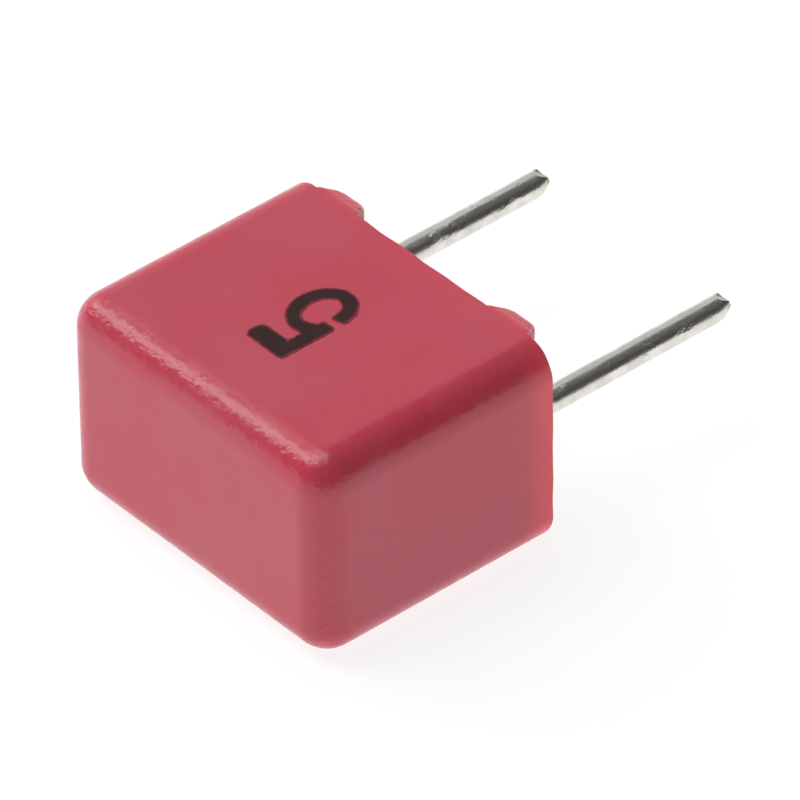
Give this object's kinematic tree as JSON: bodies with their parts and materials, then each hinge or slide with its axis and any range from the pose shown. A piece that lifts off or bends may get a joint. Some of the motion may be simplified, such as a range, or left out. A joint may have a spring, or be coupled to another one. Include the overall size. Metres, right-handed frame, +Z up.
{
  "type": "box film capacitor",
  "caption": "Radial film capacitor in a moulded box case with stand-off feet, a potted wound element and two straight tinned wire leads, lying on a broad side.",
  "frame": {"origin": "on the resting plane, under the middle of the overall box of the case and its leads", "axes": "+X along the case through both leads, +Y from the case's closed end towards the lead tips, +Z up from the broad side that the case lies on"},
  "size_m": [0.0072, 0.0106, 0.0045],
  "materials": {
    "case_plastic": "satin, finely textured from the mould",
    "seal_resin": "smooth cast resin",
    "wound_film": "metallised film",
    "sprayed_metal": "grainy sprayed metal",
    "tinned_wire": "bright tin with fine nicks",
    "marking_ink": "flat printed ink"
  },
  "bodies": {
    "root": {"case": "case_plastic", "resin_seal": "seal_resin", "film_winding": "wound_film", "end_spray_left": "sprayed_metal", "end_spray_right": "sprayed_metal", "lead_left": "tinned_wire", "lead_right": "tinned_wire"}
  },
  "joints": []
}
